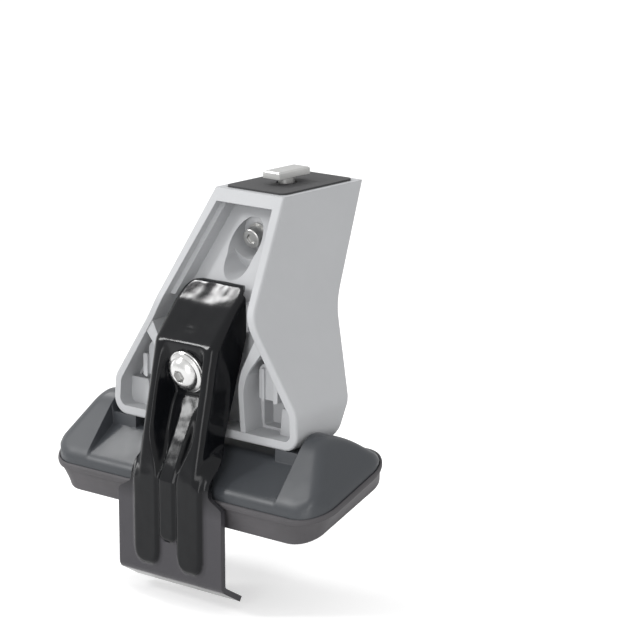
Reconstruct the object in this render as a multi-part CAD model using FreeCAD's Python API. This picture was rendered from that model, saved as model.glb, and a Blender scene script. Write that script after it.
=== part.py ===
import FreeCAD, Part
import Mesh
import os
from math import acos, cos, hypot, pi, radians, sin, sqrt, tan

Vector = FreeCAD.Vector

# A foot that carries one end of a roof bar, in millimetres.
# It is modelled from the tower's front face: X runs along the car, +Y inwards along the
# bar, +Z up. Saving moves everything so that the origin is where the tee bolt's axis meets
# the bar seat.

# Tower outline, seen from the front
foot_half_width = 51.0
foot_bottom_z = -8.8
foot_corner_r = 7.0
hip_half_width = 50.2
hip_z = 7.5
hip_r = 9.0
waist_half_width = 27.6
waist_z = 41.5
waist_r = 34.0
seat_half_width = 19.0
seat_z = 88.0

# Tower outline, seen from the side
front_bend_z = 43.0
front_bend_r = 16.0
front_lean_deg = 33.7
back_lean_deg = 30.5
foot_depth = 25.0

# Tower walls and front recess
rim_width = 3.8
rim_edge_r = 1.1
recess_depth = 11.3
ledge_setback = 4.0
ledge_width = 2.6
ledge_bottom_z = 46.0
top_wall = 5.0
bottom_wall = 4.0

# Walls that part the middle recess from the two lower pockets
frame_wall = 2.6
frame_half_width = 22.9
frame_front_y = 0.4
frame_lean = 1.6
frame_bend_z = 17.0
frame_bend_r = 20.0
frame_top_z = 33.0
frame_top_x = 34.3
frame_top_width = 5.5
frame_top_rise = 3.0

# Lower pockets, with an arch-topped pillar, a rib, a finger and a heel in each
corner_gap = 0.9
corner_margin = 1.2
corner_top_z = 26.5
corner_top_width = 8.6
corner_front_y = 2.0
corner_back_y = 17.0
pillar_gap = 3.6
pillar_width = 8.2
pillar_low_z = 9.5
pillar_high_z = 24.6
pillar_arch_r = 4.0
pillar_front_y = 5.0
pillar_rib_inset = 2.0
pillar_rib_width = 1.4
pillar_rib_rise = 1.0
finger_width = 2.4
finger_low_z = 8.0
finger_high_z = 18.5
heel_high_z = 6.5
heel_front_y = 7.0
moulding_r = 0.7

# Teardrop opening round the bar screw, and the ribs that the bracket rests on
scoop_r = 8.0
scoop_foot_r = 6.8
scoop_foot_drop = 5.0
scoop_foot_lift = 3.0
rest_rib_inner = 13.6
rest_rib_outer = 17.6
rest_rib_low_z = 35.0
rest_rib_high_z = 46.5
bracket_rest_gap = 0.3

# Screws: both run inwards and upwards at this pitch
screw_pitch_deg = 14.0
running_clearance = 0.05
hole_clearance = 0.4

# Clamp screw, a flanged button head with a plain washer
clamp_screw_d = 8.0
clamp_head_d = 14.0
clamp_head_h = 4.4
clamp_flange_d = 17.5
clamp_flange_h = 1.5
clamp_socket_af = 5.0
clamp_socket_depth = 2.8
clamp_washer_d = 18.6
clamp_washer_h = 1.6
clamp_seat_y = -8.6
clamp_seat_z = 19.4
clamp_nut_af = 13.0
clamp_nut_h = 8.0
clamp_nut_setback = 20.0
clamp_thread_out = 3.0
clamp_boss_r = 12.5
clamp_boss_setback = 2.0

# Bar screw, a small socket head with a washer
bar_screw_d = 5.0
bar_head_d = 8.6
bar_head_h = 5.0
bar_socket_af = 4.0
bar_socket_depth = 2.6
bar_washer_d = 10.4
bar_washer_h = 1.0
bar_head_y = 30.8
bar_head_z = 68.0

# Wedge and tee bolt, which draw the bar down on its seat
tee_setback = 2.0
wedge_half_width = 7.0
wedge_ahead = 12.0
wedge_behind = 8.0
wedge_over = 6.0
wedge_under = 7.5
wedge_clearance = 0.3
wedge_travel = 3.2
chamber_foot = 1.6
plug_step = 0.6
plug_thickness = 1.5
tee_shank_d = 7.0
tee_collar_d = 13.0
tee_collar_h = 3.0
tee_nut_af = 10.0
tee_nut_h = 4.0
tee_neck_above = 2.6
tee_head_length = 20.0
tee_head_width = 9.0
tee_head_h = 3.2
tee_stub = 1.0

# Soft liner between the tower and the bar
liner_h = 2.0
liner_inset = 1.2
liner_margin = 3.0
liner_slot_gap = 1.0

# Bracket: one strip, pressed and bent
sheet = 2.4
strip_half_width = 17.0
strip_bend_r = 3.2
ear_half_width = 28.5
roll_y = 9.7
roll_z = 52.5
roll_r = 1.4
roll_length = 0.7
flap_elbow_y = -11.6
flap_elbow_z = 31.2
flap_elbow_r = 6.0
knee_y = -23.9
knee_z = -24.5
knee_r = 12.0
hook_z = -68.2
hook_r = 6.6
hook_lip = 14.5
hook_angle_deg = 31.0
flange_back_y = 8.0
flange_bend_z = 33.0
flange_slope = 0.345
fold_start_z = -8.0
fold_end_z = -28.0
neck_width = 7.6
neck_z = -24.0
ear_top_z = -33.0
ear_shoulder = 5.5
base_drop = 2.5
press_wall = 2.2
pocket_half_width = 12.4
pocket_top_z = 31.0
pocket_foot_z = 9.0
rib_inner = 6.4
rib_outer = 17.4
middle_rib_half = 4.5
outer_rib_end_z = -62.0
middle_rib_end_z = -50.5
keyhole_d = 9.4
keyhole_top_half = 2.2
keyhole_rise = 10.8
keyhole_reach = 4.5
top_corner_r = 4.0

# Hard plastic saddle
saddle_half_length = 74.3
saddle_front_y = -16.8
saddle_back_y = 32.2
saddle_corner_r = 13.0
saddle_front_z = -25.8
saddle_rebate = 2.6
saddle_hull_inset = 8.0
rubber_floor = 9.0
cheek_top_z = -1.2
cheek_rise = 1.15
cheek_side_slope = 1.2
cheek_base_up = 4.0
cheek_crease_r = 7.5
well_half_width = 52.6
well_floor_z = -12.8
well_start_y = 2.0
pedestal_half_inner = 38.6
pedestal_front_y = 0.4
well_gap = 0.3
saddle_edge_r = 1.2

# Rubber pad
rim_half_length = 75.6
rim_front_y = -18.2
rim_back_y = 33.8
rim_corner_r = 15.0
rim_front_z = -30.0
rim_slope_deg = 25.2
rim_band = 2.4
rim_band_out = 0.7
under_half_length = 68.8
under_front_y = -15.4
under_back_y = 38.2
under_corner_r = 11.0
under_front_z = -41.8
roof_slope_deg = 18.5
skirt_waist = 0.35

# Screws that hold the saddle to the tower
pad_screw_x = 45.0
pad_screw_y = 12.0
pad_screw_d = 4.0
pad_screw_head_d = 8.0
pad_screw_head_h = 2.6
pad_screw_bite = 12.0

pitch = radians(screw_pitch_deg)
inward = Vector(0, cos(pitch), sin(pitch))
front_lean = tan(radians(front_lean_deg))
back_lean = tan(radians(back_lean_deg))
rim_slope = tan(radians(rim_slope_deg))
roof_slope = tan(radians(roof_slope_deg))
seat_front_y = (seat_z - front_bend_z) * front_lean
seat_back_y = foot_depth + (seat_z - foot_bottom_z) * back_lean
seat_mid_y = (seat_front_y + seat_back_y) / 2
tee_y = seat_mid_y - tee_setback
liner_top_z = seat_z + liner_h - liner_inset
row_origin = Vector(0, tee_y, liner_top_z)
clamp_seat = Vector(0, clamp_seat_y, clamp_seat_z)
bar_seat = Vector(0, bar_head_y, bar_head_z) + inward * (bar_head_h + bar_washer_h)


# Helpers for outlines and bodies

def front_point(x, z):
    return Vector(x, 0, z)


def side_point(y, z):
    return Vector(0, y, z)


def plan_point(x, y):
    return Vector(x, y, 0)


def rounded_edges(corners, place, closed=True):
    """Lines and arcs through corners (a, b, radius), placed in space by place(a, b)."""
    points = [place(a, b) for a, b, _ in corners]
    count = len(points)
    cuts = []
    for n, (_, _, radius) in enumerate(corners):
        here = points[n]
        if not closed and n in (0, count - 1) or radius == 0:
            cuts.append((here, None, here))
            continue
        before = (points[n - 1] - here).normalize()
        after = (points[(n + 1) % count] - here).normalize()
        half = acos(max(-1, min(1, before.dot(after)))) / 2
        reach = radius / tan(half)
        middle = (before + after).normalize()
        top = here + middle * (radius / sin(half) - radius)
        cuts.append((here + before * reach, top, here + after * reach))
    edges = []
    for n, (start, top, end) in enumerate(cuts):
        if top is not None:
            edges.append(Part.Arc(start, top, end).toShape())
        if not closed and n == count - 1:
            break
        following = cuts[(n + 1) % count][0]
        if end.distanceToPoint(following) > 1e-6:
            edges.append(Part.LineSegment(end, following).toShape())
    return edges


def outline_face(corners, place):
    return Part.Face(Part.Wire(rounded_edges(corners, place)))


def mirrored(corners):
    """A half outline given from the middle outwards, closed with its mirror image."""
    other = [(-a, b, r) for a, b, r in reversed(corners) if abs(a) > 1e-9]
    return corners + other


def front_prism(corners, low_y, high_y):
    face = outline_face(corners, front_point)
    face.translate(Vector(0, low_y, 0))
    return face.extrude(Vector(0, high_y - low_y, 0))


def side_prism(corners, half_width):
    face = outline_face(corners, side_point)
    face.translate(Vector(-half_width, 0, 0))
    return face.extrude(Vector(2 * half_width, 0, 0))


def plan_prism(corners, low_z, high_z):
    face = outline_face(corners, plan_point)
    face.translate(Vector(0, 0, low_z))
    return face.extrude(Vector(0, 0, high_z - low_z))


def rod(start, direction, radius, length):
    return Part.makeCylinder(radius, length, start, direction)


def hexagon_bar(start, direction, across_flats, length):
    """A hexagonal bar with two of its flats level."""
    direction = Vector(direction).normalize()
    side = Vector(1, 0, 0)
    up = direction.cross(side)
    reach = across_flats / 2 / cos(pi / 6)
    points = [start + (side * cos(pi / 3 * n) + up * sin(pi / 3 * n)) * reach for n in range(7)]
    return Part.Face(Part.makePolygon(points)).extrude(direction * length)


def box(low, high):
    size = [b - a for a, b in zip(low, high)]
    return Part.makeBox(size[0], size[1], size[2], Vector(*low))


def both_sides(shape):
    return [shape, shape.mirror(Vector(0, 0, 0), Vector(1, 0, 0))]


def save(name, shape):
    shape = shape.copy()
    shape.translate(row_origin * -1)
    if len(shape.Solids) == 1:
        shape = shape.Solids[0]
    shape.exportStep(f"parts/{name}.step")
    print(name, len(shape.Solids), round(shape.Volume, 1), shape.isValid())


# Tower housing: a prism of the front outline, cut to its leaning sides, then recessed

def tower_outline(inset=0.0, top_cut=0.0, bottom_cut=0.0):
    """The outline seen from the front, from the bottom middle to the top middle."""
    slant = (hip_half_width - waist_half_width) / (waist_z - hip_z)
    lift = inset * (hypot(1, slant) - slant)
    return mirrored([
        (0, foot_bottom_z + bottom_cut, 0),
        (foot_half_width - inset, foot_bottom_z + bottom_cut, max(foot_corner_r - inset, 1.0)),
        (hip_half_width - inset, hip_z - lift / 2, max(hip_r - inset, 1.0)),
        (waist_half_width - inset, waist_z, waist_r + inset),
        (seat_half_width - inset, seat_z - top_cut, 0),
        (0, seat_z - top_cut, 0),
    ])


def front_profile(setback, past_y):
    """The side view of all that lies in front of the tower's front, moved in by setback."""
    bend = front_bend_z
    high = seat_z + 10
    return [
        (past_y, foot_bottom_z - 10, 0),
        (setback, foot_bottom_z - 10, 0),
        (setback, bend, front_bend_r),
        (setback + (high - bend) * front_lean, high, 0),
        (past_y, high, 0),
    ]


def tower_block():
    block = front_prism(tower_outline(), -5, seat_back_y + 5)
    block = block.cut(side_prism(front_profile(0, -30), foot_half_width + 5))
    return block.cut(behind_tower(0))


def soften_outline(block, radius):
    """Rounds the edges that run round the front and the back of the tower."""
    edges = []
    for edge in block.Edges:
        box_of = edge.BoundBox
        level = box_of.ZLength < 0.01 and (box_of.ZMax > seat_z - 0.1)
        crossing = box_of.XLength < 0.01 or abs(edge.CenterOfMass.x) > 5
        if crossing and not level and edge.Length > 0.5:
            faces = block.ancestorsOfType(edge, Part.Face)
            normals = [f.normalAt(*f.Surface.parameter(edge.CenterOfMass)) for f in faces]
            if abs(normals[0].dot(normals[1])) < 0.75:
                edges.append(edge)
    return block.makeFillet(radius, edges)


def recess(inset, depth):
    """The room behind the rim, down to a floor that follows the front."""
    inside = front_prism(tower_outline(inset, top_wall, bottom_wall), -20, seat_back_y)
    return inside.common(side_prism(front_profile(depth, -30), foot_half_width))


def recess_ledges():
    """The steps along both sides of the upper recess."""
    ring = recess(rim_width, recess_depth).cut(recess(rim_width + ledge_width, recess_depth))
    ring = ring.cut(side_prism(front_profile(ledge_setback, -30), foot_half_width))
    return ring.common(box((-foot_half_width, -20, ledge_bottom_z),
                           (foot_half_width, seat_back_y, seat_z)))


def rest_ribs():
    """Two upright ribs whose fronts carry the back edges of the bracket's flanges."""
    front = flange_back_y + bracket_rest_gap
    rib = box((rest_rib_inner, front, rest_rib_low_z),
              (rest_rib_outer, front + recess_depth + 8, rest_rib_high_z))
    return both_sides(rib)


def bar_scoop():
    """The teardrop opening round the bar screw's head, along the screw's axis."""
    down = Vector(0, sin(pitch), -cos(pitch))
    side = Vector(1, 0, 0)
    head = Vector(0, bar_head_y, bar_head_z)
    bore = rod(bar_seat - inward * 50, inward, scoop_r, 50)
    foot = head + down * scoop_foot_drop - inward * scoop_foot_lift
    low = rod(foot - inward * 40, inward, scoop_foot_r, 40)
    middle = head - inward * scoop_foot_lift
    corners = [middle - side * scoop_r, middle + side * scoop_r,
               foot + side * scoop_foot_r, foot - side * scoop_foot_r]
    web = Part.Face(Part.makePolygon(corners + [corners[0]])).extrude(inward * -40)
    return bore.fuse([low, web])


def frame_walls():
    """The upright walls between the middle recess and the two lower pockets."""
    low_z = foot_bottom_z + bottom_wall - 0.5
    bend_x = frame_half_width - frame_lean
    wall = front_prism([
        (frame_half_width, low_z, 0),
        (bend_x, frame_bend_z, frame_bend_r),
        (frame_top_x, frame_top_z, 0),
        (frame_top_x - frame_top_width, frame_top_z + frame_top_rise, 0),
        (bend_x - frame_wall, frame_bend_z, frame_bend_r + frame_wall),
        (frame_half_width - frame_wall, low_z, 0),
    ], frame_front_y, recess_depth + 1)
    return both_sides(wall)


def corner_pocket():
    """The deep part of a lower pocket, outside the frame wall."""
    inner = frame_half_width + corner_gap
    low = foot_bottom_z + bottom_wall + corner_margin
    wall = rim_width + corner_margin
    return front_prism([
        (inner, low, 1.0),
        (foot_half_width - wall, low, 2.0),
        (hip_half_width - wall, hip_z - corner_margin, 3.0),
        (inner + corner_top_width, corner_top_z, 3.0),
        (inner, corner_top_z, 5.0),
    ], corner_front_y, corner_back_y)


def pocket_pillar():
    """The arch-topped pillar at the top of a pocket, with its rib, finger and heel."""
    left = frame_half_width + pillar_gap
    right = left + pillar_width
    pillar = front_prism([
        (left, pillar_low_z, moulding_r),
        (right, pillar_low_z, moulding_r),
        (right, pillar_high_z, pillar_arch_r),
        (left, pillar_high_z, pillar_arch_r),
    ], pillar_front_y, corner_back_y)
    rib_left = left + pillar_rib_inset
    rib = front_prism([
        (rib_left, pillar_low_z - moulding_r, 0),
        (rib_left + pillar_rib_width, pillar_low_z - moulding_r, 0),
        (rib_left + pillar_rib_width, pillar_high_z - pillar_rib_inset, 0),
        (rib_left, pillar_high_z - pillar_rib_inset, 0),
    ], pillar_front_y - pillar_rib_rise, corner_back_y)
    finger = front_prism([
        (right, finger_low_z, moulding_r),
        (right + finger_width, finger_low_z + finger_width / 2, moulding_r),
        (right + finger_width, finger_high_z, moulding_r),
        (right, finger_high_z, moulding_r),
    ], pillar_front_y - pillar_rib_rise, corner_back_y)
    floor_z = foot_bottom_z + bottom_wall
    heel = front_prism([
        (right + finger_width / 2, floor_z, 0),
        (foot_half_width - rim_width, floor_z, 0),
        (foot_half_width - rim_width, heel_high_z, 0),
        (right + finger_width, heel_high_z, moulding_r),
    ], heel_front_y, corner_back_y)
    return [pillar, rib, finger, heel]


def clamp_boss():
    """The round boss round the clamp screw, square to the screw."""
    start = clamp_seat + inward * (clamp_boss_setback - clamp_seat_y)
    return rod(start, inward, clamp_boss_r, 20)


def clamp_bores():
    nut_start = clamp_seat + inward * clamp_nut_setback
    shank = rod(clamp_seat - inward * 10, inward, clamp_screw_d / 2 + hole_clearance, 90)
    nut = hexagon_bar(nut_start, inward, clamp_nut_af + 2 * running_clearance, 60)
    return [shank, nut]


def wedge_middle():
    """The point of the bar screw's axis that lies on the tee bolt's axis."""
    return bar_seat + inward * ((tee_y - bar_seat.y) / inward.y)


def wedge_bottom_z():
    return wedge_middle().z - wedge_under


def wedge_profile(grow=0.0, back=0.0):
    """Side view of the wedge: its top follows the screw's pitch and its bottom is level."""
    start = wedge_middle() - inward * wedge_ahead
    end = wedge_middle() + inward * (wedge_behind + back)
    over = (wedge_over + grow) / cos(pitch)
    low = wedge_bottom_z() - grow
    return [
        (start.y - grow, low, 0),
        (end.y + grow, low, 0),
        (end.y + grow, end.z + over + grow * tan(pitch), 0),
        (start.y - grow, start.z + over - grow * tan(pitch), 0),
    ]


def tee_foot_z():
    return wedge_bottom_z() - wedge_clearance - tee_collar_h - tee_nut_h - tee_stub


def wedge_chamber(grow=0.0):
    """The room that the wedge and the foot of the tee bolt move in, open at the back."""
    low = tee_foot_z() - chamber_foot - grow
    half = max(wedge_half_width, tee_collar_d / 2) + wedge_clearance + grow
    upper = side_prism(wedge_profile(wedge_clearance + grow, 60), half)
    start_y = tee_y - tee_collar_d / 2 - chamber_foot - grow
    top = wedge_bottom_z() + wedge_travel * sin(pitch)
    lower = box((-half, start_y, low), (half, seat_back_y + 20, top))
    return upper.fuse(lower)


def tower_housing():
    block = soften_outline(tower_block(), rim_edge_r)
    block = block.cut(recess(rim_width, recess_depth))
    inside = front_prism(tower_outline(rim_width / 2), 0, seat_back_y)
    walls = [wall.common(inside) for wall in frame_walls()]
    block = block.fuse([recess_ledges()] + rest_ribs() + walls)
    for pocket in both_sides(corner_pocket()):
        block = block.cut(pocket)
    features = [clamp_boss().common(tower_block())]
    for feature in pocket_pillar():
        features += both_sides(feature.common(inside))
    block = block.fuse(features)
    cutters = clamp_bores() + [bar_scoop(), wedge_chamber()]
    cutters.append(rod(bar_seat - inward * 10, inward, bar_screw_d / 2 + hole_clearance, 60))
    cutters.append(rod(Vector(0, tee_y, wedge_bottom_z()), Vector(0, 0, 1),
                       tee_shank_d / 2 + hole_clearance, 60))
    cutters += [pad_screw_bore(side) for side in (-1, 1)]
    cutters.append(liner_block(running_clearance, 10).cut(
        box((-60, -60, -60), (60, 160, seat_z - liner_inset))))
    for cutter in cutters:
        block = block.cut(cutter)
    return block.removeSplitter()


# Liner, wedge, tee bolt and plugs

def liner_block(grow=0.0, extra=0.0):
    margin = liner_margin - grow
    low = seat_z - liner_inset
    return plan_prism([
        (-seat_half_width + margin, seat_front_y + margin, 3.0),
        (seat_half_width - margin, seat_front_y + margin, 3.0),
        (seat_half_width - margin, seat_back_y - margin, 3.0),
        (-seat_half_width + margin, seat_back_y - margin, 3.0),
    ], low, low + liner_h + extra)


def seat_liner():
    hole = rod(Vector(0, tee_y, seat_z - 10), Vector(0, 0, 1),
               tee_shank_d / 2 + liner_slot_gap, 30)
    return liner_block().cut(hole)


def wedge_block():
    """Threaded at its nose, with a fork at its back that straddles the tee bolt."""
    fork_half = tee_shank_d / 2 + hole_clearance
    body = side_prism(wedge_profile(), wedge_half_width)
    start = wedge_middle() - inward * (wedge_ahead + 1)
    nose = rod(start, inward, bar_screw_d / 2 + running_clearance, wedge_ahead)
    low = wedge_bottom_z() - 10
    root_y = tee_y - wedge_travel
    fork = box((-fork_half, root_y, low), (fork_half, seat_back_y + 20, seat_z))
    root = rod(Vector(0, root_y, low), Vector(0, 0, 1), fork_half, seat_z - low)
    return body.cut(nose).cut(fork.fuse(root))


def tee_bolt():
    """Tee head for the bar's slot, round shank, and a collar under the wedge."""
    up = Vector(0, 0, 1)
    collar_top = wedge_bottom_z() - wedge_clearance
    low = tee_foot_z()
    head_z = liner_top_z + tee_neck_above
    shank = rod(Vector(0, tee_y, low), up, tee_shank_d / 2, head_z - low + 0.5)
    head = box((-tee_head_width / 2, tee_y - tee_head_length / 2, head_z),
               (tee_head_width / 2, tee_y + tee_head_length / 2, head_z + tee_head_h))
    head = head.makeChamfer(0.6, [e for e in head.Edges if e.BoundBox.ZMin > head_z + 1])
    collar = rod(Vector(0, tee_y, collar_top - tee_collar_h), up, tee_collar_d / 2, tee_collar_h)
    return shank.fuse([head, collar]).removeSplitter()


def tee_nut():
    start = Vector(0, tee_y, tee_foot_z() + tee_stub)
    nut = hexagon_bar(start, Vector(0, 0, 1), tee_nut_af, tee_nut_h)
    return nut.cut(rod(start - Vector(0, 0, 1), Vector(0, 0, 1),
                       tee_shank_d / 2 + running_clearance, tee_nut_h + 2))


def behind_tower(front_of):
    """Everything behind a plane that lies in front of the tower's back by front_of."""
    return side_prism([
        (foot_depth - front_of - 30 * back_lean, foot_bottom_z - 30, 0),
        (seat_back_y + 90, foot_bottom_z - 30, 0),
        (seat_back_y + 90, seat_z + 10, 0),
        (seat_back_y - front_of + 10 * back_lean, seat_z + 10, 0),
    ], foot_half_width + 5)


def wedge_plug():
    """The thin cover that closes the wedge chamber at the back."""
    cover = wedge_chamber(-running_clearance).common(behind_tower(plug_step + plug_thickness))
    return cover.cut(behind_tower(plug_step))


def nut_plug():
    """The plug behind the clamp nut."""
    start = clamp_seat + inward * (clamp_nut_setback + clamp_nut_h)
    bar = hexagon_bar(start, inward, clamp_nut_af, 60)
    core = rod(start - inward, inward, clamp_screw_d / 2 + hole_clearance, 12)
    return bar.cut(behind_tower(plug_step)).cut(core)


# Screws and washers

def clamp_screw():
    head = clamp_seat - inward * clamp_washer_h
    out = inward * -1
    dome_r = clamp_head_d / 2
    flange_r = clamp_flange_d / 2
    top_r = clamp_socket_af * 0.72
    rise = clamp_head_h
    section = [
        (0, 0, 0),
        (flange_r, 0, 0.25),
        (flange_r, clamp_flange_h * 0.75, 0.5),
        (dome_r, clamp_flange_h, 0.8),
        (dome_r * 0.9, rise * 0.72, 2.2),
        (top_r, rise, 0.4),
        (0, rise, 0),
    ]
    side = Vector(0, -sin(pitch), cos(pitch))
    face = outline_face(section, lambda a, b: head + side * a + out * b)
    body = face.revolve(head, inward, 360)
    body = body.cut(hexagon_bar(head + out * (rise - clamp_socket_depth), out,
                                clamp_socket_af, clamp_socket_depth + 2))
    length = clamp_washer_h + clamp_nut_setback + clamp_nut_h + clamp_thread_out
    return body.fuse(rod(head, inward, clamp_screw_d / 2, length)).removeSplitter()


def clamp_washer():
    outer = rod(clamp_seat - inward * clamp_washer_h, inward, clamp_washer_d / 2, clamp_washer_h)
    outer = outer.makeChamfer(0.25, [e for e in outer.Edges if e.Length > clamp_washer_d])
    return outer.cut(rod(clamp_seat - inward * 5, inward,
                         clamp_screw_d / 2 + hole_clearance, 10))


def clamp_nut():
    start = clamp_seat + inward * clamp_nut_setback
    nut = hexagon_bar(start, inward, clamp_nut_af, clamp_nut_h)
    return nut.cut(rod(start - inward, inward, clamp_screw_d / 2 + running_clearance,
                       clamp_nut_h + 2))


def bar_screw():
    head = Vector(0, bar_head_y, bar_head_z)
    body = rod(head, inward, bar_head_d / 2, bar_head_h)
    body = body.makeChamfer(0.4, [e for e in body.Edges
                                  if e.Length > bar_head_d and e.CenterOfMass.y < bar_head_y + 1])
    body = body.cut(hexagon_bar(head - inward, inward, bar_socket_af, bar_socket_depth + 1))
    tip_y = tee_y - tee_shank_d / 2 - 2 * hole_clearance
    reach = (tip_y - head.y) / inward.y
    return body.fuse(rod(head + inward, inward, bar_screw_d / 2, reach - 1)).removeSplitter()


def bar_screw_washer():
    start = bar_seat - inward * bar_washer_h
    outer = rod(start, inward, bar_washer_d / 2, bar_washer_h)
    return outer.cut(rod(start - inward, inward, bar_screw_d / 2 + hole_clearance,
                         bar_washer_h + 2))


# Clamp bracket: one pressed sheet, given by its outer and its inner face

def smooth(value):
    value = max(0.0, min(1.0, value))
    return value * value * (3 - 2 * value)


def step(value, start, end):
    return smooth((value - start) / (end - start))


def bracket_path():
    """The bracket's outer face in side view, from the rolled top edge down to the lip."""
    turn = radians(hook_angle_deg)
    return [
        (roll_y + roll_length, roll_z + 0.4, 0),
        (roll_y, roll_z, roll_r),
        (flap_elbow_y, flap_elbow_z, flap_elbow_r),
        (knee_y, knee_z, knee_r),
        (knee_y, hook_z, hook_r),
        (knee_y + hook_lip * cos(turn), hook_z - hook_lip * sin(turn), 0),
    ]


def path_stations(spacing):
    """Points along the path with their directions, evenly spaced."""
    wire = Part.Wire(rounded_edges(bracket_path(), side_point, closed=False))
    count = max(12, round(wire.Length / spacing))
    points = wire.discretize(Number=count + 1)
    stations = []
    for n, point in enumerate(points):
        ahead = points[min(n + 1, count)] - points[max(n - 1, 0)]
        stations.append((point.y, point.z, ahead.normalize()))
    return stations


def face_y(z):
    """How far out the rails and ribs stand at a height, between elbow and knee."""
    share = (z - knee_z) / (flap_elbow_z - knee_z)
    return knee_y + max(0.0, share) * (flap_elbow_y - knee_y)


def pocket_drop(z):
    """Depth of the pressed pocket's floor below the rails at a height."""
    floor = clamp_seat_y - (z - clamp_seat_z) * tan(pitch)
    foot = clamp_seat_y - (pocket_foot_z - clamp_seat_z) * tan(pitch)
    if z < pocket_foot_z:
        share = (z - knee_z) / (pocket_foot_z - knee_z)
        floor = knee_y + max(0.0, share) * (foot - knee_y)
    return max(0.0, floor - face_y(z)) * step(z, pocket_top_z + 2.0, pocket_top_z - 1.0)


def outer_drop(x, z):
    """Depth of the outer face below the rails, at a place on the strip."""
    x = abs(x)
    down = step(z, -4.0, knee_z + 1.0)
    rail = pocket_half_width + (rib_inner - pocket_half_width) * down
    wide = press_wall + 1.3 * (1 - down)
    pocket = pocket_drop(z)
    valley = base_drop * step(z, 6.0, -10.0)
    valley *= step(x, middle_rib_half - press_wall / 2, middle_rib_half + press_wall / 2)
    inside = (pocket + valley) * (1 - step(x, rail - wide, rail))
    ended = step(z, middle_rib_end_z + 1.5, middle_rib_end_z - 1.5)
    inside = max(inside, base_drop * ended * (1 - step(x, rail - wide, rail)))
    outside = base_drop * step(x, rib_outer, rib_outer + press_wall) * step(z, -18.0, -28.0)
    closed = step(z, outer_rib_end_z + 1.5, outer_rib_end_z - 1.5)
    return max(inside, outside, base_drop * closed)


def floor_drop(x, z):
    """Depth of the floor behind the rails, which runs straight across to the flanges."""
    upper = pocket_drop(z)
    if z < pocket_foot_z:
        upper *= step(z, knee_z, knee_z + 8.0)
    valley = base_drop * step(z, 6.0, -10.0) * step(z, knee_z - 2.0, knee_z + 8.0)
    return max(upper + valley, outer_drop(x, z))


def flange_place(run, fold, behind):
    """Place on a side flange at a length run from where it leaves the face, as (x, depth)."""
    bend = strip_bend_r
    turned = min(run / bend, fold)
    straight = run - turned * bend
    x = bend * sin(turned) + straight * cos(fold) - behind * sin(turned)
    depth = bend * (1 - cos(turned)) + straight * sin(fold) + behind * cos(turned)
    return x, depth


def flange_width(y, z):
    """Developed width of the flange at a height: full, then a neck, then the flat ear."""
    level = max(z, fold_start_z)
    back = flange_back_y - max(0.0, flange_bend_z - level) * flange_slope
    depth = max(0.6, back - (y if z > fold_start_z else face_y(level)))
    if depth < strip_bend_r:
        return strip_bend_r * acos(1 - depth / strip_bend_r)
    width = depth + strip_bend_r * (pi / 2 - 1)
    width += (neck_width - width) * step(z, fold_start_z, neck_z)
    ear = ear_half_width - strip_half_width + strip_bend_r
    return width + (ear - width) * step(z, ear_top_z + ear_shoulder, ear_top_z)


def top_narrowing(z):
    """How much the strip narrows at a height, for its two rounded top corners."""
    rise = max(0.0, min(1.0, (z - roll_z - 0.5) / top_corner_r + 1))
    return 1 - top_corner_r * (1 - sqrt(1 - 0.98 * rise * rise)) / strip_half_width


def bracket_grid(inner, spacing=3.2, face_count=12, side_count=6):
    """Rows of points on the bracket's outer or inner face, from one side edge to the other."""
    rows = []
    flat = strip_half_width - strip_bend_r
    for y, z, along in path_stations(spacing):
        low = z < knee_z - 4
        normal = Vector(0, -along.z, along.y) if low else Vector(0, 1, 0)
        thickness = sheet if low else sheet / max(abs(along.z), 0.7)
        behind = sheet if inner else 0.0
        fold = radians(90) * (1 - step(z, fold_start_z, fold_end_z))
        width = flange_width(y, z)
        half = []
        for n in range(face_count + 1):
            x = flat * n / face_count
            drop = floor_drop(x, z) + thickness if inner else outer_drop(x, z)
            half.append((x, drop))
        start = 0.0
        if inner and fold > 0.3:
            risen = half[-1][1] - behind * cos(fold) - strip_bend_r * (1 - cos(fold))
            start = strip_bend_r * fold + risen / sin(fold)
            start = max(0.0, min(start, width * 0.8)) * step(fold, 0.3, 0.9)
        for n in range(1, side_count + 1):
            run = start + (width - start) * n / side_count
            x, depth = flange_place(run, fold, behind)
            depth += outer_drop(flat + flange_place(run, fold, 0.0)[0], z)
            half.append((flat + x, depth))
        half = [(x * top_narrowing(z), h) for x, h in half]
        row = [(-x, h) for x, h in reversed(half[1:])] + half
        rows.append([Vector(x, y, z) + normal * h for x, h in row])
    return rows


def bracket_sheet():
    """The outer and the inner face as triangles, joined along their borders into one solid."""
    outer = bracket_grid(False)
    inner = bracket_grid(True)
    rows = len(outer)
    columns = len(outer[0])
    quads = []
    for i in range(rows - 1):
        for j in range(columns - 1):
            square = ((i, j), (i + 1, j), (i + 1, j + 1), (i, j + 1))
            quads.append([outer[r][c] for r, c in square])
            quads.append([inner[r][c] for r, c in reversed(square)])
    border = [(0, j) for j in range(columns)]
    border += [(i, columns - 1) for i in range(1, rows)]
    border += [(rows - 1, j) for j in range(columns - 2, -1, -1)]
    border += [(i, 0) for i in range(rows - 2, 0, -1)]
    for n, (r, c) in enumerate(border):
        r2, c2 = border[(n + 1) % len(border)]
        quads.append([outer[r][c], outer[r2][c2], inner[r2][c2], inner[r][c]])
    triangles = []
    for a, b, c, d in quads:
        triangles += [(a, b, c), (a, c, d)]
    shape = Part.Shape()
    shape.makeShapeFromMesh(Mesh.Mesh(triangles).Topology, 0.001)
    solid = Part.Solid(Part.Shell(shape.Faces))
    if solid.Volume < 0:
        solid.reverse()
    return solid


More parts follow.
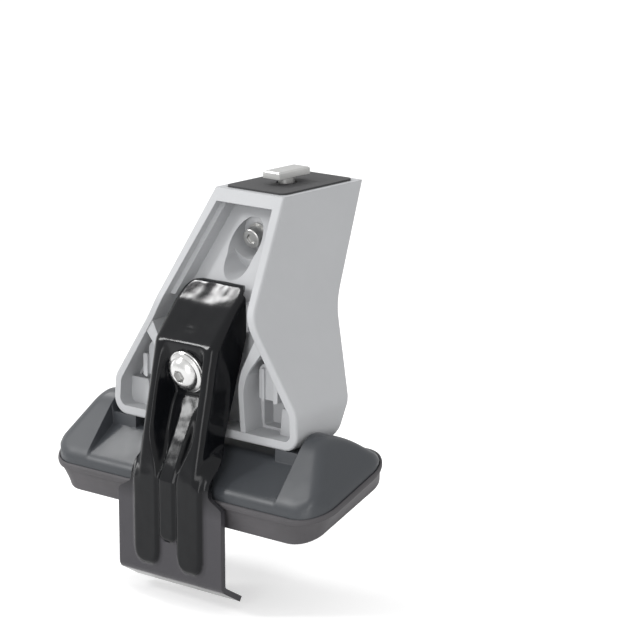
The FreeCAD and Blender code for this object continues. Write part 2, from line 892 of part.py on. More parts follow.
def clamp_bracket():
    start = clamp_seat - inward * keyhole_reach
    up = Vector(0, -sin(pitch), cos(pitch))
    side = Vector(1, 0, 0)
    radius = keyhole_d / 2
    top = start + up * keyhole_rise
    corners = [start + side * radius, top + side * keyhole_top_half,
               top - side * keyhole_top_half, start - side * radius]
    edges = [Part.LineSegment(a, b).toShape() for a, b in zip(corners, corners[1:])]
    edges.append(Part.Arc(corners[-1], start - up * radius, corners[0]).toShape())
    keyhole = Part.Face(Part.Wire(edges)).extrude(inward * (2 * keyhole_reach))
    washer_room = rod(start, inward, clamp_washer_d / 2 + hole_clearance, keyhole_reach)
    return bracket_sheet().cut(keyhole).cut(washer_room)


# Saddle and rubber pad

def pad_outline(half_length, front_y, back_y, corner_r):
    return [
        (-half_length, front_y, corner_r),
        (half_length, front_y, corner_r),
        (half_length, back_y, corner_r),
        (-half_length, back_y, corner_r),
    ]


def under_z(y):
    """Height of the pad's underside, which lies on the sloping roof."""
    return under_front_z + (y - under_front_y) * roof_slope


def rim_z(y):
    return rim_front_z + (y - rim_front_y) * rim_slope


def above_plane(height):
    """All that lies above the sloping plane height(y)."""
    return side_prism([
        (-60, height(-60), 0),
        (120, height(120), 0),
        (120, 90, 0),
        (-60, 90, 0),
    ], 120)


def saddle_envelope(top_z):
    """The saddle's block: its outer part sits in the rim, its middle reaches further down."""
    inset = saddle_hull_inset
    whole = plan_prism(pad_outline(saddle_half_length, saddle_front_y, saddle_back_y,
                                   saddle_corner_r), -60, top_z)
    hull = plan_prism(pad_outline(saddle_half_length - inset, saddle_front_y + inset,
                                  saddle_back_y - inset, saddle_corner_r - inset / 2),
                      -60, top_z)
    whole = whole.common(above_plane(lambda y: rim_z(y) - saddle_rebate))
    return whole.fuse(hull.common(above_plane(lambda y: under_z(y) + rubber_floor)))


def half_space(point, normal, size=400):
    """A large block on the side of a plane that its normal points to."""
    plane = Part.makePlane(size, size, Vector(0, 0, 0), Vector(0, 0, 1))
    plane.translate(Vector(-size / 2, -size / 2, 0))
    block = plane.extrude(Vector(0, 0, size / 2))
    turn = FreeCAD.Rotation(Vector(0, 0, 1), Vector(normal))
    block.Placement = FreeCAD.Placement(Vector(point), turn)
    return block


def cheeks():
    """The mound of the saddle: a front slope, two side slopes and a flat top."""
    mound = saddle_envelope(cheek_top_z)
    front = Vector(0, saddle_front_y, saddle_front_z)
    mound = mound.cut(half_space(front, Vector(0, -cheek_rise, 1)))
    along = Vector(0, 1, rim_slope)
    for side in (-1, 1):
        low = Vector(side * saddle_half_length, saddle_front_y,
                     rim_z(saddle_front_y) + cheek_base_up)
        across = Vector(-side, 0, cheek_side_slope)
        normal = along.cross(across) * -side
        mound = mound.cut(half_space(low, normal if normal.z > 0 else normal * -1))
    return mound


def soften_cheeks(mound):
    """Rounds the creases between the slopes of the mound."""
    edges = []
    for edge in mound.Edges:
        middle = edge.CenterOfMass
        faces = mound.ancestorsOfType(edge, Part.Face)
        if len(faces) != 2 or middle.z < saddle_front_z - 2 or edge.Length < 3:
            continue
        normals = [f.normalAt(*f.Surface.parameter(middle)) for f in faces]
        if min(n.z for n in normals) > 0.25 and abs(middle.x) > well_half_width:
            edges.append(edge)
    return mound.makeFillet(cheek_crease_r, edges)


def well_cutter():
    """The room for the tower's foot, with the ramp in front of it."""
    lean_top = 20.0
    back_y = foot_depth + well_gap
    profile = [
        (saddle_front_y - 20, saddle_front_z - 0.2, 0),
        (saddle_front_y + 0.6, saddle_front_z + 0.2, 3.0),
        (well_start_y, well_floor_z, 4.0),
        (back_y - (foot_bottom_z - well_floor_z) * back_lean + 0.8, well_floor_z, 0),
        (back_y + (lean_top - foot_bottom_z) * back_lean, lean_top, 0),
        (saddle_front_y - 20, lean_top, 0),
    ]
    return side_prism(profile, well_half_width)


def pedestals():
    """Two low steps that carry the tower's foot."""
    step_up = box((pedestal_half_inner, pedestal_front_y, well_floor_z - 1),
                  (well_half_width, foot_depth - 3.5, foot_bottom_z))
    upright = [e for e in step_up.Edges if e.BoundBox.ZLength > 2 and e.CenterOfMass.x
               < pedestal_half_inner + 1]
    return both_sides(step_up.makeFillet(saddle_edge_r, upright))


def pad_screw_bore(side):
    """Hole through saddle and tower foot for one of the two screws, wide in the saddle."""
    place = Vector(side * pad_screw_x, pad_screw_y, -60)
    return rod(place, Vector(0, 0, 1), pad_screw_d / 2 + running_clearance,
               60 + foot_bottom_z + pad_screw_bite + 1.0)


def pad_screw_head_z():
    """Where the screw heads bear, inside the saddle's underside."""
    return well_floor_z - 3.0


def pad_saddle():
    body = soften_cheeks(cheeks())
    body = body.cut(well_cutter()).fuse(pedestals())
    for side in (-1, 1):
        place = Vector(side * pad_screw_x, pad_screw_y, -60)
        body = body.cut(rod(place, Vector(0, 0, 1), pad_screw_d / 2 + hole_clearance, 80))
        body = body.cut(rod(place, Vector(0, 0, 1), pad_screw_head_d / 2 + hole_clearance,
                            60 + pad_screw_head_z()))
    return body.removeSplitter()


def pad_screw(side):
    up = Vector(0, 0, 1)
    place = Vector(side * pad_screw_x, pad_screw_y, pad_screw_head_z())
    head = rod(place - up * pad_screw_head_h, up, pad_screw_head_d / 2, pad_screw_head_h)
    head = head.cut(hexagon_bar(place - up * (pad_screw_head_h + 1), up, 3.0, 2.6))
    length = foot_bottom_z + pad_screw_bite - place.z
    return head.fuse(rod(place, up, pad_screw_d / 2, length)).removeSplitter()


def level_ring(half_length, front_y, back_y, corner_r, height):
    """A closed rounded outline lying on the sloping plane height(y)."""
    def place(x, y):
        return Vector(x, y, height(y))
    return Part.Wire(rounded_edges(pad_outline(half_length, front_y, back_y, corner_r), place))


def rubber_pad():
    """Skirt lofted from the roof side to the rim, with a bead round the rim."""
    rings = []
    for share in (0.0, 0.3, 0.65, 1.0):
        out = share - skirt_waist * share * (1 - share)
        half = under_half_length + (rim_half_length - rim_band_out - under_half_length) * out
        front = under_front_y + (rim_front_y + rim_band_out - under_front_y) * out
        back = under_back_y + (rim_back_y - rim_band_out - under_back_y) * out
        corner = under_corner_r + (rim_corner_r - under_corner_r) * out

        def height(y, share=share):
            return under_z(y) + (rim_z(y) - rim_band - under_z(y)) * share
        rings.append(level_ring(half, front, back, corner, height))
    skirt = Part.makeLoft(rings, True, True)
    bead_low = level_ring(rim_half_length, rim_front_y, rim_back_y, rim_corner_r,
                          lambda y: rim_z(y) - rim_band)
    bead = Part.Face(bead_low).extrude(Vector(0, 0, rim_band))
    return skirt.fuse(bead).cut(saddle_envelope(60)).removeSplitter()


os.makedirs("parts", exist_ok=True)
save("tower_housing", tower_housing())
save("seat_liner", seat_liner())
save("wedge_block", wedge_block())
save("tee_bolt", tee_bolt())
save("tee_nut", tee_nut())
save("wedge_plug", wedge_plug())
save("bar_screw", bar_screw())
save("bar_screw_washer", bar_screw_washer())
save("clamp_bracket", clamp_bracket())
save("clamp_screw", clamp_screw())
save("clamp_washer", clamp_washer())
save("clamp_nut", clamp_nut())
save("nut_plug", nut_plug())
save("pad_saddle", pad_saddle())
save("rubber_pad", rubber_pad())
save("pad_screw_left", pad_screw(-1))
save("pad_screw_right", pad_screw(1))
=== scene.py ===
import bpy
from math import acos, atan2, cos, pi, radians, sin, tan
from mathutils import Matrix, Vector


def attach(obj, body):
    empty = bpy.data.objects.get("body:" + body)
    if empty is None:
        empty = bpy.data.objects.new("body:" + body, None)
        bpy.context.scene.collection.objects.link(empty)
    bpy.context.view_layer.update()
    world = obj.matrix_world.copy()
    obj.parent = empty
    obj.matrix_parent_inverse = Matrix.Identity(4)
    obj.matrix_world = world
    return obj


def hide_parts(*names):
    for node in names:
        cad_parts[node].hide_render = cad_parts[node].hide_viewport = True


# The looks of the roof bar foot. Sizes are in millimetres in the tower's own axes: X along
# the car, +Y inwards along the bar, +Z up, with Y = 0 at the tower's lower front.

# Where the tower's own axes lie in the row frame
tee_y = 54.016
seat_plane_z = 88.8

# Clamp screw: its pitch, and the middle of the washer's seat
pitch = radians(14.0)
inward = Vector((0, cos(pitch), sin(pitch)))
outward = -inward
clamp_seat = Vector((0, -8.6, 19.4))

# Bracket strip: corners of its outer face as y, z and bend radius
sheet = 2.4
roll = (9.7, 52.5, 1.4)
roll_end = (0.7, 0.4)
flap_swell = (1.1, 45.5, 20.0)
flap_elbow = (-11.6, 31.2, 6.0)
knee = (-23.9, -24.5, 12.0)
hook_z = -68.2
hook_r = 6.6
lip_length = 14.5
lip_fall = radians(31.0)
strip_half_width = 17.0
strip_bend_r = 3.2
top_corner_r = 4.0
top_corner_rise = 0.5
top_corner_share = 0.98

# Bracket flanges and ears: a pair of heights says where a change starts and ends
flange_back_y = 8.0
flange_bend_z = 33.0
flange_slope = 0.345
flange_least = 0.6
fold_start_z = -8.0
fold_end_z = -28.0
neck_width = 7.6
neck_z = -24.0
ear_half_width = 28.5
ear_top_z = -33.0
ear_shoulder = 5.5
ear_press_run = (-18.0, -28.0)
plate_top_z = -28.5

# Bracket pocket, ribs and dents
base_drop = 2.5
press_wall = 2.7
pocket_wall_extra = 1.3
pocket_half_width = 12.4
pocket_top_run = (33.0, 30.0)
pocket_foot_z = 9.0
rail_run = (-4.0, -23.5)
valley_run = (6.0, -10.0)
inner_pocket_end_z = -16.5
inner_valley_start_z = -26.5
rib_inner = 6.4
rib_outer = 17.4
rib_spread = 1.0
rib_roundness = 0.75
middle_rib_half = 4.5
outer_rib_end_z = -62.0
middle_rib_end_z = -50.5
rib_lowering = 0.5
rib_lowering_run = (-12.0, -28.5)
crease_half = 7.0
crease_depth = 0.45
crease_run = (43.0, 49.0)
dimple_z = 36.5
dimple_half = 5.0
dimple_rise = 1.6
dimple_depth = 0.25

# Bracket keyhole
keyhole_d = 9.4
keyhole_top_half = 2.2
keyhole_rise = 10.8
keyhole_reach = 4.5
keyhole_steps = 48

# Fineness of the bracket's grid, and where the inner face of its flanges may start
bend_steps = 24
strip_spacing = 0.8
face_columns = 30
side_columns = 18
steepest_run = 0.7
flange_start_fold = (0.3, 0.9)
flange_start_share = 0.8

# Saddle and rubber pad: outlines as half length, front, back and corner radius
saddle_outline = (74.3, -16.8, 32.2, 13.0)
rim_outline = (75.6, -18.2, 33.8, 15.0)
under_outline = (68.8, -15.4, 38.2, 11.0)
corner_steps = 20
rim_front_z = -30.0
rim_slope = tan(radians(19.5))
roof_front_z = -41.8
roof_slope = tan(radians(18.5))

# Saddle
saddle_seat = 2.6
saddle_seat_deep = 8.6
saddle_hollow_inset = (8.0, 8.6)
saddle_edge_r = 2.2
saddle_front_z = -25.8
saddle_cut_low_z = -60
saddle_cut_height = 80
saddle_spacing = (0.9, 0.8)
saddle_over = 1
step_width = 0.08
well_half_width = 52.6
well_floor_z = -12.8
well_start_y = 2.0
well_end_y = 23.7
well_back_lean = tan(radians(30.5))
well_blend = 1.5
pedestal_inner = 38.6
pedestal_y = (0.4, 21.5)
pedestal_z = -8.8
cheek_front_rise = 1.2
cheek_side_rise = 1.4
cheek_side_z = 2.8
cheek_top_z = -1.2
cheek_back_z = -3.4
cheek_back_y = 17.0
cheek_back_fall = 0.8
cheek_blend = 5.5
cheek_least_rise = 1.8
cheek_end_y = 12.0

# Rubber pad: rings of its top and band as outline, inset and depth below the rim's plane
rim_band = 2.5
rim_band_out = 0.8
rim_rings = [
    (saddle_outline, -0.1, saddle_seat),
    (saddle_outline, -0.1, 0.3),
    (saddle_outline, -0.4, 0.0),
    (rim_outline, 0.6, 0.0),
    (rim_outline, 0.15, 0.3),
    (rim_outline, 0.0, 0.8),
    (rim_outline, 0.0, rim_band - 0.8),
    (rim_outline, 0.2, rim_band - 0.2),
    (rim_outline, rim_band_out, rim_band),
]
skirt_waist = 0.35
skirt_steps = 12
skirt_foot_r = 1.6
skirt_foot_angles = (22.5, 45, 67.5, 90)

# Clamp screw: radii, and heights above its flange's seat
washer_thick = 1.6
shank_r = 4.0
shank_length = 38.5
flange_r = 8.5
flange_edge = (8.4, 0.45)
flange_edge_r = 0.35
flange_edge_angles = (-60, 70)
head_foot = (7.2, 1.35)
dome_middle = (2.2, -1.4)
dome_r = 5.9
dome_angles = (32, 84)
socket_rim = (2.3, 4.42)
socket_floor = 1.6
socket_flats = 5.0
socket_room = 6

# Materials: the noise values between which a drift runs, the bracket's paint, and the painted
# sheen on its lower plate
drift_span = (0.3, 0.7)
paint_colour = (0.004, 0.0044, 0.0055)
# Painted sheen: a lighter colour painted on the recessed lower plate in place of its brighter
# reflection; the next three say where it starts and how far it fades
painted_sheen_colour = (0.055, 0.053, 0.059)
sheen_front = 1.0
sheen_depth = 0.8
sheen_height = 12.0

# Camera, as solved from the photograph: its turn and lift, place, focal length and picture
# width in pixels
camera_turn = radians(39.5)
camera_lift = radians(13.58)
camera_place = (733.185, -813.320, 303.394)
focal_px = 2744.0
picture_px = 640
sensor = 36

# Studio
floor_z = -77
floor_reach = 9000
floor_glow = 0.35
world_level = 0.84
lit_middle = (0, 0, 10)
# Soft lights: name, direction from the foot, distance, width and height in metres, radiance
lights = [
    ("key", (-0.62, -0.56, 0.54), 1.0, 0.12, 0.28, 28.0),
    ("roll", (-0.66, 0.05, 0.75), 1.0, 0.20, 0.13, 32.0),
    ("front", (0.30, -0.93, 0.20), 1.0, 0.34, 0.55, 4.2),
    ("left", (-0.97, -0.02, 0.04), 0.9, 0.24, 0.40, 2.0),
]


def place(x, y, z):
    """A point in the tower's own axes, as metres in the row frame."""
    return Vector((x, y - tee_y, z - seat_plane_z)) / 1000


def new_object(name, points, faces):
    mesh = bpy.data.meshes.new(name)
    mesh.from_pydata([tuple(place(*p)) for p in points], [], faces)
    mesh.update()
    obj = bpy.data.objects.new(name, mesh)
    bpy.context.scene.collection.objects.link(obj)
    return obj


def smooth_shade(obj, angle):
    """Smooth shading, with edges sharper than angle degrees kept."""
    obj.data.polygons.foreach_set("use_smooth", [True] * len(obj.data.polygons))
    obj.data.set_sharp_from_angle(angle=radians(angle))


def cut_away(obj, cutter, operation="DIFFERENCE"):
    """Takes the cutter's volume out of obj for good, and removes the cutter."""
    tool = obj.modifiers.new("cut", "BOOLEAN")
    tool.operation = operation
    tool.solver = "EXACT"
    tool.object = cutter
    graph = bpy.context.evaluated_depsgraph_get()
    mesh = bpy.data.meshes.new_from_object(obj.evaluated_get(graph))
    obj.modifiers.clear()
    obj.data = mesh
    bpy.data.objects.remove(cutter)


def prism(name, section, push):
    """A solid between a polygon and the same polygon moved by push."""
    count = len(section)
    points = [tuple(p) for p in section] + [tuple(Vector(p) + Vector(push)) for p in section]
    sides = [(n, (n + 1) % count, (n + 1) % count + count, n + count) for n in range(count)]
    caps = [tuple(range(count))[::-1], tuple(range(count, 2 * count))]
    return new_object(name, points, caps + sides)


def slab_faces(rows, columns, turned=False):
    """Faces of a closed slab: one grid of points, a second grid behind it, and the edge."""
    behind = rows * columns
    faces = []
    for i in range(rows - 1):
        for j in range(columns - 1):
            a = i * columns + j
            square = (a, a + columns, a + columns + 1, a + 1)
            if turned:
                square = (a, a + 1, a + columns + 1, a + columns)
            faces.append(square)
            faces.append(tuple(behind + v for v in reversed(square)))
    border = list(range(columns))
    border += [i * columns + columns - 1 for i in range(1, rows)]
    border += [(rows - 1) * columns + j for j in range(columns - 2, -1, -1)]
    border += [i * columns for i in range(rows - 2, 0, -1)]
    for n, a in enumerate(border):
        b = border[(n + 1) % len(border)]
        if turned:
            a, b = b, a
        faces.append((a, b, behind + b, behind + a))
    return faces


def arc_points(centre, radius, first, last, count):
    """Points of an arc between two angles in degrees."""
    out = []
    for k in range(count + 1):
        a = radians(first + (last - first) * k / count)
        out.append((centre[0] + radius * cos(a), centre[1] + radius * sin(a)))
    return out


def step(value, start, end):
    """0 at start, 1 at end, with a soft change between them."""
    share = max(0.0, min(1.0, (value - start) / (end - start)))
    return share * share * (3 - 2 * share)


# Bracket form

def path_corners():
    """Corners of the strip's outer face from its rolled top to its lip."""
    lip_y = knee[0] + lip_length * cos(lip_fall)
    lip_z = hook_z - lip_length * sin(lip_fall)
    return [(roll[0] + roll_end[0], roll[1] + roll_end[1], 0), roll, flap_swell, flap_elbow,
            knee, (knee[0], hook_z, hook_r), (lip_y, lip_z, 0)]


def bend_points(before, corner, after, radius):
    """Points of the arc that rounds a corner between two other points."""
    back = (before - corner).normalized()
    on = (after - corner).normalized()
    half = acos(back.dot(on)) / 2
    middle = corner + (back + on).normalized() * radius / sin(half)
    start = corner + back * radius / tan(half) - middle
    end = corner + on * radius / tan(half) - middle
    first = atan2(start.y, start.x)
    turn = (atan2(end.y, end.x) - first + pi) % (2 * pi) - pi
    angles = [first + turn * k / bend_steps for k in range(bend_steps + 1)]
    return [middle + Vector((cos(angle), sin(angle))) * radius for angle in angles]


def rounded_path(corners):
    """Evenly spaced points (y, z) along a path of straights and arcs."""
    ends = [Vector(corner[:2]) for corner in corners]
    dense = [ends[0]]
    for n in range(1, len(corners) - 1):
        dense += bend_points(ends[n - 1], ends[n], ends[n + 1], corners[n][2])
    dense.append(ends[-1])
    lengths = [0.0]
    for one, other in zip(dense, dense[1:]):
        lengths.append(lengths[-1] + (other - one).length)
    rows = round(lengths[-1] / strip_spacing)
    points = []
    k = 0
    for n in range(rows + 1):
        want = lengths[-1] * n / rows
        while k < len(dense) - 2 and lengths[k + 1] < want:
            k += 1
        share = (want - lengths[k]) / (lengths[k + 1] - lengths[k])
        points.append(dense[k].lerp(dense[k + 1], min(1, share)))
    return points


def face_y(z):
    """Where the strip's front face lies between its knee and its elbow."""
    share = (z - knee[1]) / (flap_elbow[1] - knee[1])
    return knee[0] + max(0.0, share) * (flap_elbow[0] - knee[0])


def pocket_drop(z):
    """Depth of the pocket that seats the washer square to the screw."""
    floor = clamp_seat.y - (z - clamp_seat.z) * tan(pitch)
    foot = clamp_seat.y - (pocket_foot_z - clamp_seat.z) * tan(pitch)
    if z < pocket_foot_z:
        share = (z - knee[1]) / (pocket_foot_z - knee[1])
        floor = knee[0] + max(0.0, share) * (foot - knee[0])
    return max(0.0, floor - face_y(z)) * step(z, *pocket_top_run)


def past_end(x, z, middle, half, end_z):
    """0 on a rib and 1 beyond its rounded lower end."""
    radius = half * rib_roundness
    dx = max(0.0, abs(x - middle) - (half - radius))
    dz = end_z + radius - z
    if dz < 0:
        return 0.0
    return step((dx * dx + dz * dz) ** 0.5 - radius, -press_wall / 2, press_wall / 2)


def outer_drop(x, z):
    """How far the pressed outer face lies behind the strip's front."""
    x = abs(x)
    down = step(z, *rail_run)
    rail = pocket_half_width + (rib_inner - pocket_half_width) * down
    wall = press_wall + pocket_wall_extra * (1 - down)
    within = 1 - step(x, rail - wall, rail)
    valley = base_drop * step(z, *valley_run)
    valley *= step(x, middle_rib_half - press_wall / 2, middle_rib_half + press_wall / 2)
    inside = (pocket_drop(z) + valley) * within
    ended = past_end(x, z, 0.0, middle_rib_half, middle_rib_end_z)
    inside = max(inside, base_drop * ended * within)
    outside = base_drop * step(x, rib_outer, rib_outer + press_wall) * step(z, *ear_press_run)
    closed = past_end(x, z, (rib_inner + rib_outer) / 2, (rib_outer - rib_inner) / 2 + rib_spread,
                      outer_rib_end_z)
    drop = max(inside, outside, base_drop * closed)
    low = rib_lowering * step(z, *rib_lowering_run)
    drop = low + (1 - low / base_drop) * drop
    crease = max(0.0, 1 - (x / crease_half) ** 2) ** 2 * step(z, *crease_run)
    oval = (x / dimple_half) ** 2 + ((z - dimple_z) / dimple_rise) ** 2
    return drop + crease_depth * crease + dimple_depth * max(0.0, 1 - oval) ** 2


def inner_drop(x, z):
    """How far the inner face lies behind the strip's front, without the sheet."""
    pocket = pocket_drop(z)
    if z < pocket_foot_z:
        pocket *= step(z, knee[1], inner_pocket_end_z)
    valley = base_drop * step(z, *valley_run)
    valley *= step(z, inner_valley_start_z, inner_pocket_end_z)
    return max(pocket + valley, outer_drop(x, z))


def flange_place(run, fold, behind):
    """Place across and behind the flat face, after a run round the side bend."""
    bend = strip_bend_r
    turned = min(run / bend, fold)
    straight = run - turned * bend
    x = bend * sin(turned) + straight * cos(fold) - behind * sin(turned)
    depth = bend * (1 - cos(turned)) + straight * sin(fold) + behind * cos(turned)
    return x, depth


def flange_width(y, z):
    """Run of the side from the flat face to its edge: flange, neck and then ear."""
    level = max(z, fold_start_z)
    back = flange_back_y - max(0.0, flange_bend_z - level) * flange_slope
    depth = max(flange_least, back - (y if z > fold_start_z else face_y(level)))
    if depth < strip_bend_r:
        return strip_bend_r * acos(1 - depth / strip_bend_r)
    width = depth + strip_bend_r * (pi / 2 - 1)
    width += (neck_width - width) * step(z, fold_start_z, neck_z)
    ear = ear_half_width - strip_half_width + strip_bend_r
    return width + (ear - width) * step(z, ear_top_z + ear_shoulder, ear_top_z)


def top_narrowing(z):
    """Share of its width that the strip keeps where its top corners are rounded."""
    rise = (z - roll[1] - top_corner_rise) / top_corner_r + 1
    rise = max(0.0, min(1.0, rise))
    lost = top_corner_r * (1 - (1 - top_corner_share * rise * rise) ** 0.5)
    return 1 - lost / strip_half_width


def flange_start(drop, fold, width):
    """Run at which the inner face of a folded side begins, clear of the ribs' backs."""
    if fold <= flange_start_fold[0]:
        return 0.0
    risen = drop - sheet * cos(fold) - strip_bend_r * (1 - cos(fold))
    start = strip_bend_r * fold + risen / sin(fold)
    return max(0.0, min(start, width * flange_start_share)) * step(fold, *flange_start_fold)


def bracket_grid(inner):
    """Rows of points over the outer or the inner face of the bracket."""
    rows = []
    flat = strip_half_width - strip_bend_r
    stations = rounded_path(path_corners())
    last = len(stations) - 1
    for n, (y, z) in enumerate(stations):
        along = (stations[min(n + 1, last)] - stations[max(n - 1, 0)]).normalized()
        plate = z < plate_top_z
        normal = Vector((0, -along.y, along.x)) if plate else Vector((0, 1, 0))
        thickness = sheet if plate else sheet / max(abs(along.y), steepest_run)
        fold = pi / 2 * (1 - step(z, fold_start_z, fold_end_z))
        width = flange_width(y, z)
        half = []
        for k in range(face_columns + 1):
            x = flat * k / face_columns
            drop = inner_drop(x, z) + thickness if inner else outer_drop(x, z)
            half.append((x, drop))
        start = flange_start(half[-1][1], fold, width) if inner else 0.0
        for k in range(1, side_columns + 1):
            run = start + (width - start) * k / side_columns
            x, depth = flange_place(run, fold, sheet if inner else 0.0)
            depth += outer_drop(flat + flange_place(run, fold, 0.0)[0], z)
            half.append((flat + x, depth))
        half = [(x * top_narrowing(z), h) for x, h in half]
        row = [(-x, h) for x, h in reversed(half[1:])] + half
        rows.append([Vector((x, y, z)) + normal * h for x, h in row])
    return rows


def keyhole_cutter():
    up = Vector((0, -sin(pitch), cos(pitch)))
    side = Vector((1, 0, 0))
    base = clamp_seat - inward * keyhole_reach
    turns = [pi + pi * k / keyhole_steps for k in range(keyhole_steps + 1)]
    ring = [base + (side * cos(a) + up * sin(a)) * keyhole_d / 2 for a in turns]
    top = base + up * keyhole_rise
    ring += [top + side * keyhole_top_half, top - side * keyhole_top_half]
    return prism("keyhole", ring, inward * 2 * keyhole_reach)


def make_bracket():
    """The clamp bracket: one pressed sheet between its outer and its inner face."""
    outer = bracket_grid(False)
    inner = bracket_grid(True)
    points = [p for row in outer + inner for p in row]
    bracket = new_object("bracket", points, slab_faces(len(outer), len(outer[0])))
    cut_away(bracket, keyhole_cutter())
    smooth_shade(bracket, 40)
    return bracket


# Saddle and rubber pad

def rim_z(y):
    """Height of the plane on top of the rubber's rim."""
    return rim_front_z + (y - rim_outline[1]) * rim_slope


def roof_z(y):
    """Height of the roof under the pad."""
    return roof_front_z + (y - under_outline[1]) * roof_slope


def ring_points(outline, inset=0.0):
    """Points (x, y) round an outline, moved in by inset."""
    half, front, back, radius = outline
    radius -= inset
    x = half - inset - radius
    corners = [(x, front + inset + radius, -90), (x, back - inset - radius, 0),
               (-x, back - inset - radius, 90), (-x, front + inset + radius, 180)]
    points = []
    for cx, cy, start in corners:
        points += arc_points((cx, cy), radius, start, start + 90, corner_steps)
    return points


def inside_by(outline, x, y):
    """How far a point lies inside an outline."""
    half, front, back, radius = outline
    dx = half - abs(x)
    dy = min(y - front, back - y)
    if dx < radius and dy < radius:
        return radius - ((radius - dx) ** 2 + (radius - dy) ** 2) ** 0.5
    return min(dx, dy)


def blend_low(a, b, width):
    """The lower of two heights, with a soft change from one to the other."""
    near = max(width - abs(a - b), 0.0) / width
    return min(a, b) - near * near * width / 4


def well_z(x, y):
    """Height of the well: a front ramp, the floor, its pedestals and the leaning back wall."""
    if pedestal_inner < x and pedestal_y[0] < y < pedestal_y[1]:
        return pedestal_z
    share = (y - saddle_outline[1]) / (well_start_y - saddle_outline[1])
    ramp = saddle_front_z + share * (well_floor_z - saddle_front_z)
    back = well_floor_z + (y - well_end_y) / well_back_lean
    return max(blend_low(ramp, well_floor_z, well_blend), back)


def cheek_z(x, y):
    """Height of the cheek at an end of the saddle."""
    front = saddle_front_z + cheek_front_rise * (y - saddle_outline[1])
    side = rim_z(y) + cheek_side_z + cheek_side_rise * (saddle_outline[0] - x)
    back = cheek_back_z - cheek_back_fall * (y - cheek_back_y)
    height = blend_low(blend_low(front, side, cheek_blend), back, cheek_blend)
    height = blend_low(height, cheek_top_z, cheek_blend)
    return max(height, rim_z(y) + cheek_least_rise)


def saddle_z(x, y):
    """Height of the saddle's top, with its outer edge rounded."""
    x = abs(x)
    height = cheek_z(x, y)
    if x < well_half_width:
        height = min(well_z(x, y), cheek_z(well_half_width, max(y, cheek_end_y)))
    edge = max(0.0, saddle_edge_r - max(0.0, inside_by(saddle_outline, x, y)))
    return height - saddle_edge_r + (saddle_edge_r ** 2 - edge ** 2) ** 0.5


def under_saddle_z(x, y):
    """Height of the saddle's underside: a seat round the edge, and a hollow inside it."""
    deep = step(inside_by(saddle_outline, x, y), *saddle_hollow_inset)
    return rim_z(y) - saddle_seat - deep * (saddle_seat_deep - saddle_seat)


def spread(marks, spacing):
    """Values between marks, about spacing apart, with every mark among them."""
    values = [marks[0]]
    for low, high in zip(marks, marks[1:]):
        count = max(1, round((high - low) / spacing))
        values += [low + (high - low) * k / count for k in range(1, count + 1)]
    return values


def make_saddle():
    """The hard plastic saddle: a well with a ramp between two rounded cheeks."""
    half, front, back, _ = saddle_outline
    right = [edge + d for edge in (pedestal_inner, well_half_width) for d in (0, step_width)]
    left = [-x for x in reversed(right)]
    end = half + saddle_over
    columns = spread([-end] + left + right + [end], saddle_spacing[0])
    rows = spread([front - saddle_over, pedestal_y[0], pedestal_y[0] + step_width,
                   pedestal_y[1], pedestal_y[1] + step_width, well_end_y,
                   back + saddle_over], saddle_spacing[1])
    points = [(x, y, saddle_z(x, y)) for y in rows for x in columns]
    points += [(x, y, under_saddle_z(x, y)) for y in rows for x in columns]
    faces = slab_faces(len(rows), len(columns), turned=True)
    saddle = new_object("saddle_shown", points, faces)
    outline = [(x, y, saddle_cut_low_z) for x, y in ring_points(saddle_outline)]
    cut_away(saddle, prism("outline", outline, (0, 0, saddle_cut_height)), "INTERSECT")
    smooth_shade(saddle, 38)
    return saddle


def skirt_rings():
    """Rings of the skirt from the band down to the roof, with its foot rounded."""
    rings = []
    high = ring_points(rim_outline, rim_band_out)
    low = ring_points(under_outline)
    for k in range(1, skirt_steps + 1):
        share = 1 - k / skirt_steps
        out = share - skirt_waist * share * (1 - share)
        ring = []
        for (x1, y1), (x0, y0) in zip(high, low):
            top = rim_z(y1) - rim_band
            base = roof_z(y0) + skirt_foot_r
            ring.append((x0 + (x1 - x0) * out, y0 + (y1 - y0) * out, base + (top - base) * share))
        rings.append(ring)
    for angle in skirt_foot_angles:
        inset = skirt_foot_r * (1 - cos(radians(angle)))
        rise = skirt_foot_r * (1 - sin(radians(angle)))
        rings.append([(x, y, roof_z(y) + rise) for x, y in ring_points(under_outline, inset)])
    return rings


def make_rubber():
    """The rubber pad: a band round the rim, and a skirt that leans in to the roof."""
    rings = []
    for outline, inset, drop in rim_rings:
        rings.append([(x, y, rim_z(y) - drop) for x, y in ring_points(outline, inset)])
    rings += skirt_rings()
    count = len(rings[0])
    points = [p for ring in rings for p in ring]
    faces = [tuple(range(count)), tuple(range(len(points) - count, len(points)))[::-1]]
    for n in range(len(rings) - 1):
        for k in range(count):
            m = (k + 1) % count
            faces.append((n * count + k, (n + 1) * count + k, (n + 1) * count + m, n * count + m))
    rubber_piece = new_object("rubber_shown", points, faces)
    smooth_shade(rubber_piece, 50)
    return rubber_piece


# Clamp screw

def revolved(name, start, axis, section, segments=128):
    """A body turned about an axis from a section of (radius, height along the axis)."""
    side = Vector((1, 0, 0))
    up = axis.cross(side)
    points = []
    faces = []
    for radius, height in section:
        for k in range(segments):
            a = 2 * pi * k / segments
            points.append(start + axis * height + (side * cos(a) + up * sin(a)) * radius)
    for n in range(len(section) - 1):
        for k in range(segments):
            m = (k + 1) % segments
            faces.append((n * segments + k, n * segments + m,
                          (n + 1) * segments + m, (n + 1) * segments + k))
    faces.append(tuple(range(segments))[::-1])
    faces.append(tuple((len(section) - 1) * segments + k for k in range(segments)))
    return new_object(name, points, faces)


def hexagon(start, axis, across_flats, push):
    side = Vector((1, 0, 0))
    up = axis.cross(side)
    reach = across_flats / 2 / cos(pi / 6)
    ring = [start + (side * cos(pi / 3 * k) + up * sin(pi / 3 * k)) * reach for k in range(6)]
    return prism("hexagon", ring, axis * push)


